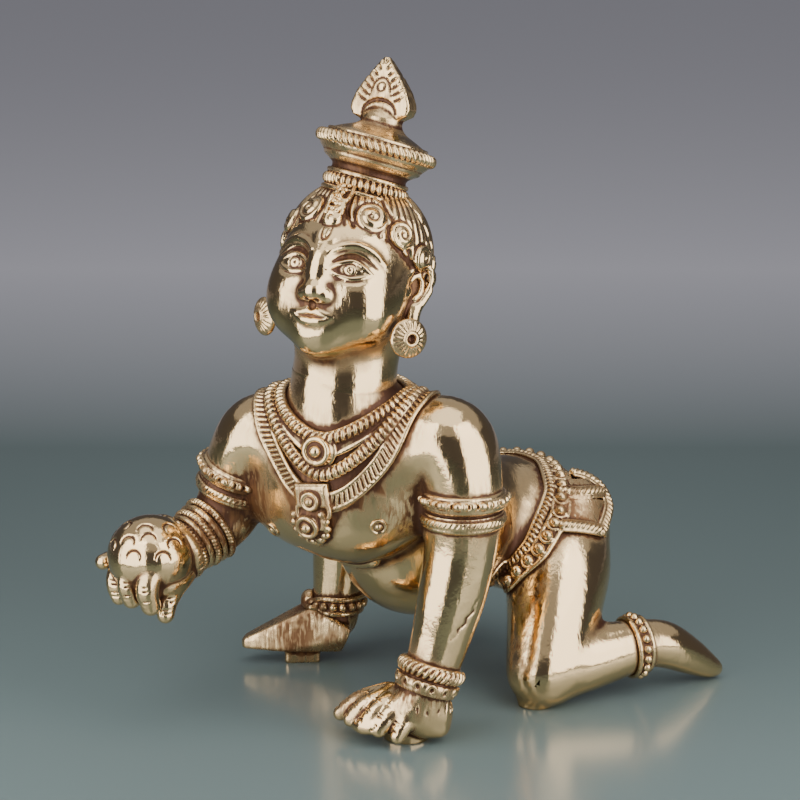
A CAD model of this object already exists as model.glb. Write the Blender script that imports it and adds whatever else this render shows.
"""A crawling child in cast brass, offering a ball of butter, on a plain floor."""
import math

import bpy
import numpy as np
import openvdb
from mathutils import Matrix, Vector
from mathutils.geometry import tessellate_polygon


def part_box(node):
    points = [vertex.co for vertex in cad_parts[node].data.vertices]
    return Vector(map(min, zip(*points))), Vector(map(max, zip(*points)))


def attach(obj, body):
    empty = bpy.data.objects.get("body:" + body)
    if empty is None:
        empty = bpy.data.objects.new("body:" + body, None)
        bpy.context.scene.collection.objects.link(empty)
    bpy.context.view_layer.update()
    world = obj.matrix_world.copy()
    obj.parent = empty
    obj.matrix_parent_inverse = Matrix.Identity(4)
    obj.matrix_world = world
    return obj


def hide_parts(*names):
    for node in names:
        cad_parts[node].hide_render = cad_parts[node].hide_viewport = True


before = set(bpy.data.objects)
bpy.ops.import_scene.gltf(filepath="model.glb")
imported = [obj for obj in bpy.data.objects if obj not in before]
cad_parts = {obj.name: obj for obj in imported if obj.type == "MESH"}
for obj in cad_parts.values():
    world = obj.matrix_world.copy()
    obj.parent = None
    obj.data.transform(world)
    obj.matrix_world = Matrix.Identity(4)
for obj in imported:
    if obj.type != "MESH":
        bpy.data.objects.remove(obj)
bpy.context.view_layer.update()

# Trunk, arms and legs.
# One lost-wax casting in pale brass. The wax is built from rounded masses that melt into each
# other, and the cast skin is filed and polished, so it is smooth and mirror bright.

# Places are in pose millimetres: the figure is laid out round a point between its limbs, and
# its middle and size come from the frame.
low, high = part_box("krishna_figure")
TALL = 87.842                              # pose height, floor to crest tip
SCALE = (high[2] - low[2]) / TALL          # metres in one pose millimetre
MIDDLE = np.array([0.38, 0.84, 0.0])
CHEST_TURN = math.radians(22)
FAR = 50.0                                 # distance given to empty space


def turn(yaw=0.0, pitch=0.0, roll=0.0):
    """Rows of the matrix that turns by roll about Y, then pitch about X, then yaw about Z."""
    cy, sy, cp, sp = math.cos(yaw), math.sin(yaw), math.cos(pitch), math.sin(pitch)
    cr, sr = math.cos(roll), math.sin(roll)
    about_z = np.array([[cy, -sy, 0], [sy, cy, 0], [0, 0, 1]])
    about_x = np.array([[1, 0, 0], [0, cp, -sp], [0, sp, cp]])
    about_y = np.array([[cr, 0, sr], [0, 1, 0], [-sr, 0, cr]])
    return about_z @ about_x @ about_y


def own_axes(x, y, z, centre, axes):
    """Coordinates along the columns of axes, from centre."""
    x, y, z = x - centre[0], y - centre[1], z - centre[2]
    return [axes[0, i] * x + axes[1, i] * y + axes[2, i] * z for i in range(3)]


def egg(centre, radii, axes=None):
    """An ellipsoid: half widths along the columns of axes."""
    centre, radii = np.asarray(centre, float), np.asarray(radii, float)
    axes = np.eye(3) if axes is None else axes
    reach = np.sqrt(((axes * radii) ** 2).sum(1))

    def away(x, y, z):
        own = own_axes(x, y, z, centre, axes)
        near = np.sqrt(sum((own[i] / radii[i]) ** 2 for i in range(3)))
        steep = np.sqrt(sum((own[i] / radii[i] ** 2) ** 2 for i in range(3)))
        return near * (near - 1) / np.maximum(steep, 1e-6)
    return centre - reach, centre + reach, away


def slab(centre, half, axes=None, soft=0.1):
    """A block with rounded edges: half widths along the columns of axes."""
    centre, half = np.asarray(centre, float), np.asarray(half, float)
    axes = np.eye(3) if axes is None else axes
    reach = np.abs(axes) @ half

    def away(x, y, z):
        own = own_axes(x, y, z, centre, axes)
        over = [np.abs(own[i]) - (half[i] - soft) for i in range(3)]
        past = np.sqrt(sum(np.maximum(part, 0) ** 2 for part in over))
        return past + np.minimum(np.maximum(np.maximum(over[0], over[1]), over[2]), 0) - soft
    return centre - reach, centre + reach, away


def bone(start, end, thick, thin):
    """A tapered rod with round ends."""
    start, end = np.asarray(start, float), np.asarray(end, float)
    along = end - start
    length = float(along @ along) + 1e-12

    def away(x, y, z):
        x, y, z = x - start[0], y - start[1], z - start[2]
        t = np.clip((x * along[0] + y * along[1] + z * along[2]) / length, 0, 1)
        gap = np.sqrt((x - t * along[0]) ** 2 + (y - t * along[1]) ** 2 + (z - t * along[2]) ** 2)
        return gap - (thick + t * (thin - thick))
    return np.minimum(start - thick, end - thin), np.maximum(start + thick, end + thin), away


EDGE = 0.14                                # roundness between the flat sides of the foot


def facets(centre, axes, sides, reach):
    """A block with flat sides: rows of an outward direction and a place on the side."""
    def away(x, y, z):
        own = own_axes(x, y, z, centre, axes)
        gaps = [sum(o * (p - q) for o, p, q in zip(out, own, place)) / np.linalg.norm(out)
                for out, place in sides]
        return EDGE * np.log(sum(np.exp(np.minimum(gap, 9.0) / EDGE) for gap in gaps))
    return centre - reach, centre + reach, away


def smooth_path(points, steps=6, closed=False):
    """Catmull-Rom rows through rows of numbers."""
    rows = np.asarray(points, float)
    if closed:
        rows = np.vstack([rows[-1], rows, rows[:2]])
    else:
        rows = np.vstack([2 * rows[0] - rows[1], rows, 2 * rows[-1] - rows[-2]])
    path = []
    for i in range(1, len(rows) - 2):
        a, b, c, d = rows[i - 1:i + 3]
        for t in np.arange(steps) / steps:
            path.append(0.5 * (2 * b + (c - a) * t + (2 * a - 5 * b + 4 * c - d) * t * t
                               + (3 * b - a - 3 * c + d) * t ** 3))
    if not closed:
        path.append(rows[-2])
    return np.array(path)


def limb(points, steps=6):
    """A round limb through (x, y, z, radius) rows, as one form."""
    path = smooth_path(points, steps)
    bones = [bone(a[:3], b[:3], a[3], b[3]) for a, b in zip(path[:-1], path[1:])]
    low = (path[:, :3] - path[:, 3:]).min(0)
    high = (path[:, :3] + path[:, 3:]).max(0)

    def away(x, y, z):
        nearest = bones[0][2](x, y, z)
        for piece in bones[1:]:
            nearest = np.minimum(nearest, piece[2](x, y, z))
        return nearest
    return low, high, away


def blurred(block, reach):
    """A block smoothed along its three axes, reach in cells."""
    span = int(math.ceil(2.5 * reach))
    weights = np.exp(-0.5 * (np.arange(-span, span + 1) / reach) ** 2)
    weights = (weights / weights.sum()).astype(np.float32)
    for axis in range(3):
        edges = [(span, span) if i == axis else (0, 0) for i in range(3)]
        padded = np.pad(block, edges, mode="edge")
        length = block.shape[axis]
        smooth = np.zeros_like(block)
        for k, weight in enumerate(weights):
            cut = [slice(None)] * 3
            cut[axis] = slice(k, k + length)
            smooth += weight * padded[tuple(cut)]
        block = smooth
    return block


class Wax:
    """A block of distances to the surface, sculpted the way a caster works wax."""

    def __init__(self, low, high, grain):
        self.low = np.asarray(low, float)
        self.grain = grain
        cells = np.ceil((np.asarray(high) - self.low) / grain).astype(int) + 1
        self.gap = np.full(cells, FAR, np.float32)
        self.high = self.low + (cells - 1) * grain

    def window(self, low, high, margin=0.0):
        """The cells round a form, and their coordinates."""
        first = np.floor((np.asarray(low) - margin - self.low) / self.grain).astype(int)
        last = np.ceil((np.asarray(high) + margin - self.low) / self.grain).astype(int) + 1
        first = np.maximum(first, 0)
        last = np.minimum(last, self.gap.shape)
        if (last <= first).any():
            return None
        cells = tuple(slice(a, b) for a, b in zip(first, last))
        x, y, z = [(self.low[i] + self.grain * np.arange(first[i], last[i])).astype(np.float32)
                   for i in range(3)]
        return cells, x[:, None, None], y[None, :, None], z[None, None, :]

    def press_on(self, form, blend=0.0):
        """Adds a form, melted into what is there over a width of blend."""
        low, high, away = form
        found = self.window(low, high, 2 * blend + 3 * self.grain + 0.3)
        if found is None:
            return
        cells, x, y, z = found
        new, old = away(x, y, z), self.gap[cells]
        merged = np.minimum(old, new)
        if blend:
            near = np.clip(1 - np.abs(old - new) / blend, 0, None)
            merged = merged - near * near * (blend / 4)
        self.gap[cells] = merged

    def carve(self, form, blend=0.0):
        """Cuts a form away, with edges rounded over a width of blend."""
        low, high, away = form
        found = self.window(low, high, blend + 2 * self.grain)
        if found is None:
            return
        cells, x, y, z = found
        new, old = -away(x, y, z), self.gap[cells]
        merged = np.maximum(old, new)
        if blend:
            near = np.clip(1 - np.abs(old - new) / blend, 0, None)
            merged = merged + near * near * (blend / 4)
        self.gap[cells] = merged

    def soften(self, reach):
        """Smooths the whole surface."""
        self.gap = blurred(np.clip(self.gap, -3.0, 3.0), reach / self.grain)

    def read(self, points):
        """The distance at each point, from the eight cells round it."""
        where = (np.asarray(points, float) - self.low) / self.grain
        where = np.clip(where, 0, np.array(self.gap.shape) - 1.001)
        cell = np.floor(where).astype(int)
        part = (where - cell).astype(np.float32)
        total = 0.0
        for corner in range(8):
            step = np.array([corner & 1, corner >> 1 & 1, corner >> 2 & 1])
            weight = np.prod(np.where(step, part, 1 - part), axis=1)
            x, y, z = (cell + step).T
            total = total + weight * self.gap[x, y, z]
        return total

    def slope(self, points):
        """The outward direction at each point, and how fast the distance grows that way."""
        reach = np.eye(3) * self.grain
        rise = [self.read(points + reach[i]) - self.read(points - reach[i]) for i in range(3)]
        rise = np.column_stack(rise) / (2 * self.grain)
        steep = np.linalg.norm(rise, axis=1, keepdims=True)
        return rise / np.maximum(steep, 1e-6), np.maximum(steep, 0.3)

    def settle(self, points, lift=0.0, rounds=8):
        """Points brought to the surface, lifted off it, and the outward direction there."""
        points = np.array(points, float)
        for _ in range(rounds):
            out, steep = self.slope(points)
            points = points - out * np.clip(self.read(points)[:, None] / steep, -1.0, 1.0)
        out, steep = self.slope(points)
        return points + out * lift, out

    def string(self, path, thick, blend=0.0, closed=False):
        """A round strand along a path."""
        path = np.asarray(path, float)
        last = np.roll(path, -1, 0) if closed else path[1:]
        for start, end in zip(path, last):
            self.press_on(bone(start, end, thick, thick), blend)

    def score(self, path, width, blend=0.1, closed=False):
        """A cut line along a path, tapered at both ends when it is open."""
        path = np.asarray(path, float)
        last = np.roll(path, -1, 0) if closed else path[1:]
        count = len(last)
        for i, (start, end) in enumerate(zip(path, last)):
            fade = 1.0 if closed else 0.35 + 0.65 * math.sin(math.pi * (i + 0.5) / count)
            self.carve(bone(start, end, width * fade, width * fade), blend)


castings = []
THRIFT = 0.02                              # how far the mesh is thinned where it is flat


def one_side(places, out, quads, triangles, keep):
    """The faces whose centres are kept, with flat faces over the hole along the cut."""
    quads = quads[keep(*places[quads].mean(1).T)]
    triangles = triangles[keep(*places[triangles].mean(1).T)]
    used = np.unique(np.concatenate([quads.ravel(), triangles.ravel()]))
    fresh = np.zeros(len(places), int)
    fresh[used] = np.arange(len(used))
    places, out, quads, triangles = places[used], out[used], fresh[quads], fresh[triangles]
    sides = np.vstack([np.stack([rows, np.roll(rows, -1, 1)], 2).reshape(-1, 2)
                       for rows in (quads, triangles)])
    codes = sides[:, 0] * len(places) + sides[:, 1]
    rim = sides[~np.isin(codes, sides[:, 1] * len(places) + sides[:, 0])]
    following = dict(rim.tolist())
    while following:
        start, onward = next(iter(following.items()))
        loop = [start]
        while onward != start:
            loop.append(onward)
            onward = following.pop(onward)
        following.pop(start, None)
        corners = [Vector(places[i]) for i in loop]
        faces = np.array(loop)[np.array(tessellate_polygon([corners]))]
        span = np.cross(places[faces[:, 1]] - places[faces[:, 0]],
                        places[faces[:, 2]] - places[faces[:, 0]]).sum(0)
        whirl = np.cross(places[loop], places[loop[1:] + loop[:1]]).sum(0)
        triangles = np.vstack([triangles, faces if span @ whirl < 0 else faces[:, ::-1]])
    return places, out, quads, triangles


def cast(wax, name, keep=None):
    """Turns wax into a closed brass mesh. Keep picks the side of a cut by centre of each face."""
    grid = openvdb.FloatGrid(FAR)
    grid.copyFromArray(wax.gap)
    places, triangles, quads = grid.convertToPolygons(0.0, THRIFT)
    places = np.asarray(places) * wax.grain + wax.low
    quads = np.asarray(quads).astype(int)
    triangles = np.asarray(triangles).astype(int).reshape(-1, 3)
    out, steep = wax.slope(places)
    lift = wax.read(places)[:, None] / steep
    places = places - out * np.clip(lift, -0.5 * wax.grain, 0.5 * wax.grain)
    if keep is not None:
        places, out, quads, triangles = one_side(places, out, quads, triangles, keep)

    mesh = bpy.data.meshes.new(name)
    corners = np.concatenate([quads.ravel(), triangles.ravel()]).astype(np.int32)
    starts = np.concatenate([np.arange(len(quads)) * 4,
                             quads.size + np.arange(len(triangles)) * 3]).astype(np.int32)
    mesh.vertices.add(len(places))
    mesh.vertices.foreach_set("co", ((places - MIDDLE) * SCALE).astype(np.float32).ravel())
    mesh.loops.add(len(corners))
    mesh.loops.foreach_set("vertex_index", corners)
    mesh.polygons.add(len(starts))
    mesh.polygons.foreach_set("loop_start", starts)
    mesh.update(calc_edges=True)
    mesh.shade_smooth()
    mesh.normals_split_custom_set_from_vertices(out)
    piece = bpy.data.objects.new(name, mesh)
    bpy.context.collection.objects.link(piece)
    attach(piece, "root")
    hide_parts("krishna_figure")
    castings.append((piece, wax, places, out))


body = Wax((-30, -27, -1.5), (31, 40.5, 48), 0.26)

for form, blend in (
        (egg((-0.2, -9.2, 33.4), (12.6, 9.6, 11.8), turn(CHEST_TURN, math.radians(-6))), 0.0),
        (egg((0.0, -8.0, 38.6), (13.0, 7.4, 5.6), turn(CHEST_TURN)), 2.0),
        (egg((0.6, 3.4, 22.9), (10.9, 12.0, 11.2)), 1.6),
        (limb([(-0.4, -4, 34, 9.0), (0.3, 6, 27, 8.2), (0.8, 15, 23.2, 8.4), (1, 22, 20.8, 8.8)]),
         3.0),
        (egg((0.9, 22.4, 20.4), (12.0, 8.8, 9.0)), 3.0),
        (limb([(0, -9.0, 38.6, 8.6), (0, -10.8, 42.4, 7.6), (0, -11.0, 45.0, 7.0),
               (0, -10.9, 46.6, 6.8)]), 3.0)):
    body.press_on(form, blend)

# Arms: the left is planted, the right is bent and held out
left_arm = limb([(9, -7.4, 38.6, 5.8), (13.6, -5.3, 39.4, 5.9), (15.8, -5.1, 34.6, 5.2),
                 (16.0, -5.2, 30, 4.9), (15.9, -5.6, 25, 4.7), (15.5, -6.8, 19.5, 4.5),
                 (15.0, -8.3, 14, 3.9), (14.6, -9.6, 10, 3.5), (14.0, -10.8, 6.5, 3.0)])
right_arm = limb([(-7.6, -13.0, 37.8, 5.8), (-11.4, -15.0, 38.0, 5.5), (-14.2, -15.8, 34, 4.9),
                  (-15.7, -16.0, 30.0, 4.6), (-16.6, -16.9, 26.4, 4.4),
                  (-17.2, -20.6, 24.2, 3.9), (-17.6, -24.4, 22.8, 3.2)])
for form, blend in (
        (left_arm, 2.6), (right_arm, 2.6),
        (limb([(8.2, 22.4, 19.8, 8.1), (11.6, 19.6, 16.4, 7.4), (14.2, 15.7, 11.4, 6.4),
               (15.8, 12.4, 6.4, 5.5), (16.1, 11.2, 4.7, 4.9)]), 2.8),
        (limb([(16.4, 11.6, 4.8, 4.8), (19.2, 17.6, 5.7, 4.4), (21.6, 22.6, 6.5, 3.8),
               (22.8, 25.4, 6.7, 3.4), (24.0, 28.2, 6.1, 3.3), (25.4, 31.6, 4.1, 2.7),
               (26.6, 34.6, 2.1, 1.9), (27.2, 36.0, 1.4, 1.3)]), 1.2),
        (limb([(-7.6, 23.0, 19.6, 8.2), (-12.0, 18.0, 21.4, 7.3), (-16.0, 12.0, 23.0, 5.9),
               (-17.8, 8.4, 22.4, 5.1)]), 2.8),
        (limb([(-17.8, 8.2, 22.2, 4.9), (-18.0, 7.2, 16.0, 4.3), (-18.0, 6.2, 10.5, 3.6),
               (-18.0, 5.6, 6.4, 3.4)]), 1.2),
        (egg((10.4, 24.2, 23.2), (4.6, 4.6, 4.8)), 2.6),
        (egg((-6.6, -13.0, 29.8), (5.8, 4.8, 5.6), turn(CHEST_TURN)), 3.0)):
    body.press_on(form, blend)
body.soften(0.55)

# The right foot is a wedge of flat sides with a sharp ridge, on its casting peg
SOLE = np.array([-21.77, 1.35, 0.0])
foot = turn(math.radians(46.9))
foot_sides = [((-0.92, -0.39, 0), (-7.9, 0, 0)), ((-0.92, 0.39, 0), (-7.9, 0, 0)),
              ((0.95, 0, -0.3), (7.9, 0, 6.0)), ((-0.03, 0, -1), (0, 0, 1.75)),
              ((-0.24, -0.95, 0.12), (0.8, -2.4, 7.4)), ((0, -0.75, -0.66), (0, -3.2, 2.7)),
              ((-0.46, 0, 0.89), (-7.8, 0, 3.3)), ((-0.15, 1, 0.12), (0, 2.6, 4)),
              ((0.45, 0, 0.9), (7.6, 0, 5.8))]
body.press_on(facets(SOLE, foot, foot_sides, 11.0), 0.5)
body.press_on(slab(SOLE + foot[:, 0] * 0.9, (2.5, 1.9, 2.0), foot, 0.3), 0.3)

# The belly folds over itself under the chest
fold, out = body.settle(smooth_path([(-2.6, -9.4, 23.3), (-0.8, -9.6, 22.2), (1.2, -9.6, 21.8),
                                     (3.2, -9.6, 22.0), (4.6, -9.6, 22.8)], 5), 0.1)
body.string(fold, 0.36, 0.7)
fold, out = body.settle(fold - (0, 0, 0.75), 0.1)
body.score(fold, 0.22, 0.25)

# A jagged flaw runs down the left forearm
flaw, out = body.settle([(19.9, -6.6, 20.0), (19.3, -7.3, 19.1), (19.7, -7.2, 18.4),
                         (19.0, -8.2, 17.6), (19.3, -8.3, 16.9), (18.7, -9.2, 16.2),
                         (18.9, -9.5, 15.5), (18.5, -10.2, 14.9)])
body.score(flaw, 0.22, 0.12)

# Pits in the left foot
pits = (((22.9, 28.6, 8.9), 0.3), ((25.0, 32.6, 6.0), 0.35), ((21.2, 23.2, 10.0), 0.25))
for place, size in pits:
    spot, out = body.settle([place])
    body.carve(egg(spot[0] + out[0] * 0.2, (size, size, size * 0.8)), 0.4)

# The casting pad under the left knee, and the level that everything stands on
body.press_on(bone((15.7, 10.2, -2.0), (15.7, 10.2, 1.0), 2.2, 2.4), 0.6)
body.gap = np.maximum(body.gap, -body.window(body.low, body.high)[3])


def before_hips(x, y, z):
    """In front of the slanting plane under the belt, where trunk and hips are parted."""
    return 0.84 * (y - 17.0) - 0.54 * (z - 19.9) < 0


def behind_belt(x, y, z):
    return ~before_hips(x, y, z)


cast(body, "trunk_and_arms", before_hips)
cast(body, "hips_and_legs", behind_belt)

# Necklaces, brooch, pendant and nipples.
# Four strands in the wax of the chest: two notched cords, a wired band with a round brooch, and
# a ribbed band with the pendant. Cast in brass with the figure, and cut sharper with a chisel.


def facing(normal, up=(0, 0, 1)):
    """A turn whose third axis is the normal and whose second leans to up."""
    out = np.asarray(normal, float)
    out = out / np.linalg.norm(out)
    side = np.cross(up, out)
    side = side / np.linalg.norm(side)
    return np.column_stack([side, np.cross(out, side), out])


def ring(centre, radius, thick, axes=None):
    """A round ring about the third of axes."""
    centre = np.asarray(centre, float)
    axes = np.eye(3) if axes is None else axes
    reach = np.sqrt((axes[:, :2] ** 2).sum(1)) * radius + thick

    def away(x, y, z):
        own = own_axes(x, y, z, centre, axes)
        return np.sqrt((np.sqrt(own[0] ** 2 + own[1] ** 2) - radius) ** 2 + own[2] ** 2) - thick
    return centre - reach, centre + reach, away


def evenly(path, pitch, closed=False):
    """Points about every pitch along a path, and the direction of the path at each."""
    path = np.vstack([path, path[:1]]) if closed else np.asarray(path, float)
    run = np.concatenate([[0], np.cumsum(np.linalg.norm(np.diff(path, axis=0), axis=1))])
    count = max(3, round(run[-1] / pitch))
    stops = np.linspace(0, run[-1], count + 1)[:-1] if closed else np.linspace(0, run[-1], count)
    spots = np.column_stack([np.interp(stops, run, path[:, i]) for i in range(3)])
    if closed:
        along = np.roll(spots, -1, 0) - np.roll(spots, 1, 0)
    else:
        along = np.gradient(spots, axis=0)
    return spots, along / np.linalg.norm(along, axis=1, keepdims=True)


def threaded(skin, path, pitch, lift=0.0, closed=False, slide=0.0):
    """Places along a path laid on the skin: each is a spot and its axes along, across, out."""
    spots, out = skin.settle(path)
    spots, along = evenly(spots, pitch, closed)
    spots, out = skin.settle(spots)
    across = np.cross(out, along)
    across = across / np.linalg.norm(across, axis=1, keepdims=True)
    if slide:
        spots, out = skin.settle(spots + across * slide)
        across = np.cross(out, along)
        across = across / np.linalg.norm(across, axis=1, keepdims=True)
    out = np.cross(along, across)
    return [(spot + rise * lift, np.column_stack([a, b, rise]))
            for spot, a, b, rise in zip(spots, along, across, out)]


STEP = 0.5                                 # between the places that a wire is pressed on at


def cord(wax, skin, path, thick, lift, closed=False, slide=0.0):
    """A thin round wire laid on the skin."""
    wax.string([spot for spot, axes in threaded(skin, path, STEP, lift, closed, slide)],
               thick, 0.05, closed)


def edge_cords(wax, skin, path, thick, lift, aside, closed=False):
    """Two wires, one along each edge of a strip."""
    for slide in (aside, -aside):
        cord(wax, skin, path, thick, lift, closed, slide)


def band(wax, skin, path, half, tall, closed=False):
    """A flat strip, soft at its edges."""
    for spot, axes in threaded(skin, path, 0.45, 0.0, closed):
        wax.press_on(slab(spot, (0.36, half, tall), axes, 0.22), 0.1)


def ribs(wax, skin, path, pitch, half, thick, lift, slant):
    """Bars across a closed strip."""
    for spot, axes in threaded(skin, path, pitch, lift, True):
        reach = axes[:, 1] * half + axes[:, 0] * slant
        wax.press_on(bone(spot - reach, spot + reach, thick, thick), 0.06)


def notched(wax, skin, path, thick, pitch, cut, lean, lift=0.2, closed=True):
    """A round cord with leaning notches cut across it."""
    cord(wax, skin, path, thick, lift, closed)
    for spot, axes in threaded(skin, path, pitch, lift + thick * 0.98, closed):
        reach = axes[:, 1] * thick * 0.8 + axes[:, 0] * lean
        drop = axes[:, 2] * thick * 0.45
        wax.carve(bone(spot - reach - drop, spot, cut, cut), 0.08)
        wax.carve(bone(spot, spot + reach - drop, cut, cut), 0.08)


def boss(wax, spot, out, size, tall):
    """A round boss with a raised rim and a bead in its middle."""
    axes = facing(out)
    wax.press_on(egg(spot, (size, size, tall), axes), 0.1)
    wax.press_on(ring(spot + axes[:, 2] * tall * 0.72, size * 0.74, size * 0.17, axes), 0.06)
    bead = (size * 0.36, size * 0.36, size * 0.34)
    wax.press_on(egg(spot + axes[:, 2] * tall, bead, axes), 0.06)


def necklace(width, deep, drop, point=1.35):
    """A strand that rests on the shoulders and falls in a point to the chest."""
    a = np.arange(72) * math.tau / 72
    fall = np.where(np.cos(a) > 0, 1 - np.sqrt(np.sin(a) ** 2 + 0.015) ** point, 0).clip(0, 1)
    path = np.column_stack([width * np.sin(a), -deep * np.cos(a), -drop * fall])
    return path @ turn(CHEST_TURN).T + np.array([0.2, -10.6, 44.6])


strands = Wax((-14.5, -23, 21.5), (16, 0, 47.5), 0.15)
outer, wired = necklace(11.5, 8.6, 12.6, 2.0), necklace(9.1, 7.8, 6.0)
edge_cords(strands, body, outer, 0.3, 0.35, 0.95, True)
band(strands, body, outer, 0.95, 0.3, True)
ribs(strands, body, outer, 0.72, 0.62, 0.24, 0.4, 0.3)
cord(strands, body, necklace(12.1, 8.8, 14.0, 2.0), 0.42, 0.0, True)
band(strands, body, wired, 0.95, 0.6, True)
edge_cords(strands, body, wired, 0.3, 0.5, 0.85, True)
notched(strands, body, necklace(10.3, 8.2, 9.2, 1.5), 0.92, 0.8, 0.18, 0.12, 0.45)
notched(strands, body, necklace(8.4, 7.6, 4.4), 0.9, 0.8, 0.2, 0.2, 0.4)

# The brooch, then the pendant: a plate with a boss, a boss below it with a lobed edge
places, out = body.settle([(2.5, -17.1, 38.9), (2.2, -18.6, 32.4), (1.4, -18.4, 29.0),
                           (1.2, -17.4, 26.6), (2.4, -18.4, 33.6)])
boss(strands, places[0] + out[0] * 0.8, out[0], 2.15, 0.95)
strands.press_on(ring(places[0] + out[0] * 0.5, 2.2, 0.3, facing(out[0])), 0.1)
plate = facing(out[1], (-0.12, 0, 1))
top = places[1] + out[1] * 0.35
for half, height, rise in ((2.45, 1.7, 0.0), (2.2, 1.45, 0.25)):
    strands.press_on(slab(top + plate[:, 1] * 0.5, (half, height, 0.5 + rise), plate, 0.25), 0.1)
strands.press_on(slab((top + places[2]) / 2, (2.0, 2.6, 0.75), plate, 0.35), 0.2)
boss(strands, top + out[1] * 0.45, out[1], 1.45, 0.95)
plaque = facing(out[2], (-0.12, 0, 1))
strands.press_on(egg(places[2] + out[2] * 0.2, (2.5, 2.7, 0.95), plaque), 0.15)
boss(strands, places[2] + out[2] * 0.75, out[2], 1.85, 0.95)
for k in range(-5, 6):
    a = math.radians(-90 + 24 * k)
    place = places[2] + plaque[:, 0] * 2.35 * math.cos(a) + plaque[:, 1] * 2.6 * math.sin(a)
    place, rise = body.settle([place], 0.5)
    strands.press_on(egg(place[0], (0.62, 0.62, 0.55)), 0.06)
for side in (1, -1):
    curl = [top + plate[:, 0] * side * (2.0 + 0.35 * math.cos(t))
            + plate[:, 1] * (-1.5 + 0.9 * math.sin(t)) + plate[:, 2] * 0.4
            for t in np.linspace(-1.5, 1.9, 8)]
    strands.string(curl, 0.3, 0.08)
strands.press_on(egg(places[3] + out[3] * 0.3, (1.3, 1.2, 0.8), facing(out[3])), 0.2)
strands.carve(ring(places[3] + out[3] * 1.05, 0.62, 0.17, facing(out[3])), 0.05)
cast(strands, "necklaces")

for place, name in (((8.8, -13.5, 28.8), "left_nipple"), ((-6.6, -16.6, 26.9), "right_nipple")):
    spot, out = body.settle([place])
    dot = Wax(spot[0] - 2, spot[0] + 2, 0.11)
    axes = facing(out[0])
    dot.press_on(egg(spot[0] - out[0] * 0.3, (1.2, 1.2, 0.45), axes), 0.0)
    dot.press_on(ring(spot[0] + out[0] * 0.02, 0.98, 0.2, axes), 0.08)
    dot.press_on(egg(spot[0] + out[0] * 0.05, (0.42, 0.42, 0.36), axes), 0.08)
    cast(dot, name)

# Armlets, bangles and anklets.
# Bands round the limbs in brass, cast with the figure: modelled on the wax as thick and thin
# cords, rows of beads and rims, then cut sharper with a chisel.


def round_limb(centre, axis, radius):
    """A circle of places about an axis."""
    axes = facing(axis, (0.31, 0.2, -0.93))
    a = np.arange(48) * math.tau / 48
    return (np.asarray(centre, float) + np.outer(np.cos(a), axes[:, 0]) * radius
            + np.outer(np.sin(a), axes[:, 1]) * radius)


def rims(wax, skin, path, rows, width):
    """Lines cut round a band, from rows of how far aside and how far off the skin."""
    for slide, lift in rows:
        wax.score([spot for spot, axes in threaded(skin, path, STEP, lift, True, slide)],
                  width, 0.08, True)


def motifs(wax, skin, path):
    """A thick cord with a bead and two bars over and over."""
    cord(wax, skin, path, 1.35, -0.5, True)
    rims(wax, skin, path, ((1.0, 0.55), (-0.42, 0.9)), 0.21)
    for k, (spot, axes) in enumerate(threaded(skin, path, 1.0, 0.75, True, 0.3)):
        if k % 3:
            wax.press_on(egg(spot, (0.24, 0.5, 0.36), axes), 0.05)
            wax.carve(egg(spot + axes[:, 0] * 0.36, (0.12, 0.46, 0.36), axes), 0.05)
        else:
            wax.press_on(egg(spot, (0.62, 0.52, 0.48), axes), 0.05)


def notches(wax, skin, path):
    """A thick cord with slanting notches between its rims."""
    cord(wax, skin, path, 1.2, -0.4, True)
    rims(wax, skin, path, ((0.85, 0.45), (-0.4, 0.75)), 0.19)
    for spot, axes in threaded(skin, path, 0.62, 0.82, True, 0.22):
        stroke = axes[:, 1] * 0.45 + axes[:, 0] * 0.35
        wax.carve(bone(spot - stroke, spot + stroke, 0.2, 0.2), 0.06)


def thick_rope(wax, skin, path):
    notched(wax, skin, path, 1.05, 0.72, 0.19, 0.35, 0.1)


def thin_rope(wax, skin, path):
    notched(wax, skin, path, 0.52, 0.5, 0.13, 0.12)


def wire(wax, skin, path):
    cord(wax, skin, path, 0.42, 0.2, True)


def bead_row(wax, skin, path):
    """Beads on a strip between two wires."""
    band(wax, skin, path, 0.9, 0.4, True)
    for spot, axes in threaded(skin, path, 1.25, 0.5, True):
        wax.press_on(egg(spot, (0.6, 0.6, 0.6)), 0.08)
    edge_cords(wax, skin, path, 0.36, 0.3, 1.05, True)


def scallops(wax, skin, path):
    """A cord with a row of hollowed arches over a wire."""
    cord(wax, skin, path, 1.0, 0.0, True)
    cord(wax, skin, path, 0.34, 0.62, True, -0.62)
    for spot, axes in threaded(skin, path, 1.5, 0.85, True, 0.1):
        wax.string([spot + axes[:, 0] * 0.55 * math.cos(t) + axes[:, 1] * (0.75 * math.sin(t) - 0.2)
                    for t in np.linspace(0, math.pi, 8)], 0.22, 0.05)
        hollow = spot - axes[:, 1] * 0.1 + axes[:, 2] * 0.1
        wax.carve(egg(hollow, (0.26, 0.36, 0.3), axes), 0.05)


def knob(wax, skin, path):
    """The knob on the front of an anklet, in the middle of the path."""
    spot, out = skin.settle([path.mean(0)])
    wax.press_on(egg(spot[0] + out[0] * 0.5, (1.5, 1.35, 1.2), facing(out[0])), 0.3)


def armlet(name, rows, radius, reach, skin=body):
    """Rows of (centre, axis, pattern) round a limb, as one piece."""
    middle = np.mean([row[0] for row in rows], axis=0)
    wax = Wax(middle - reach, middle + np.array(reach), 0.16)
    for centre, axis, pattern in rows:
        pattern(wax, skin, round_limb(centre, axis, radius))
    cast(wax, name)


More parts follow.
